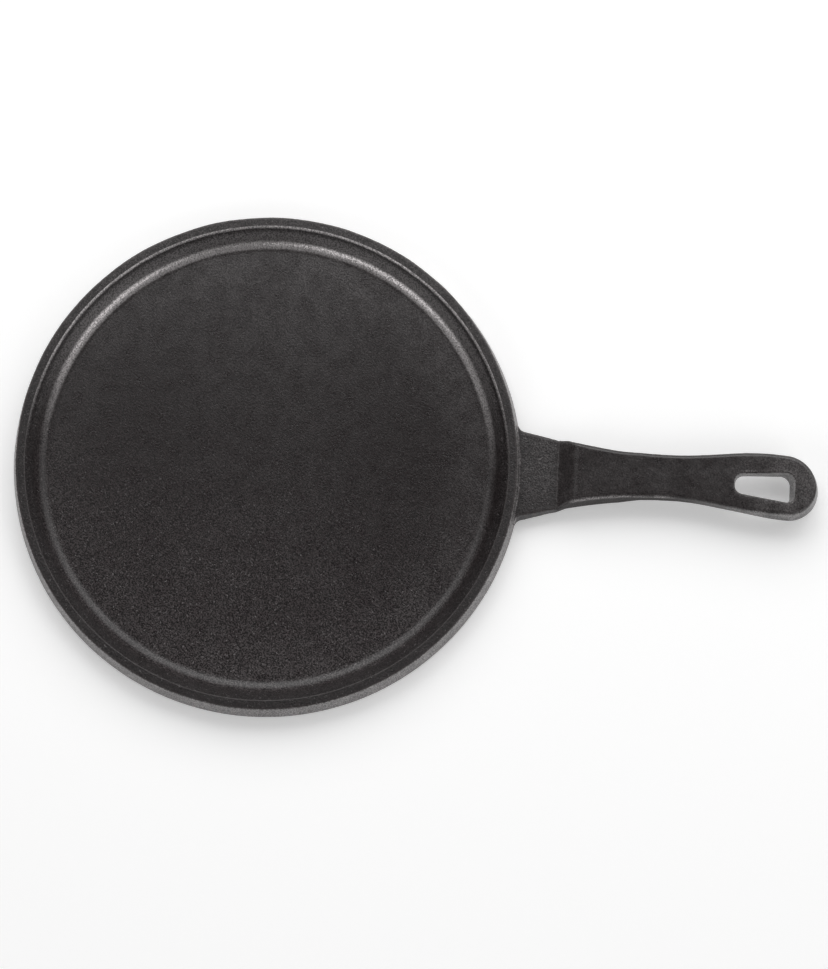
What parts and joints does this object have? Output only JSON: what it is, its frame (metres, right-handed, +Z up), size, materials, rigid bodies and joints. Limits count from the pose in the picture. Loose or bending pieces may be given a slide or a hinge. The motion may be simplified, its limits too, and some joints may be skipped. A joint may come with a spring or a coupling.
{
  "type": "tawa",
  "caption": "Round flat hot plate with a low rim and a long slotted handle, for cooking flatbreads on a hob.",
  "frame": {"origin": "centre of the plate's flat underside, on the surface that the tawa stands on", "axes": "+X along the handle, away from the plate; +Z up, out of the cooking surface"},
  "size_m": [0.4173, 0.2638, 0.0182],
  "materials": {
    "pan_iron": "seasoned cast iron, near black, pebbled on the floor and rough on the rim and neck",
    "handle_iron": "smoother seasoned cast iron, near black",
    "screw_steel": "blackened steel"
  },
  "bodies": {
    "root": {"pan": "pan_iron", "handle": "handle_iron", "handle_screw": "screw_steel"}
  },
  "joints": []
}
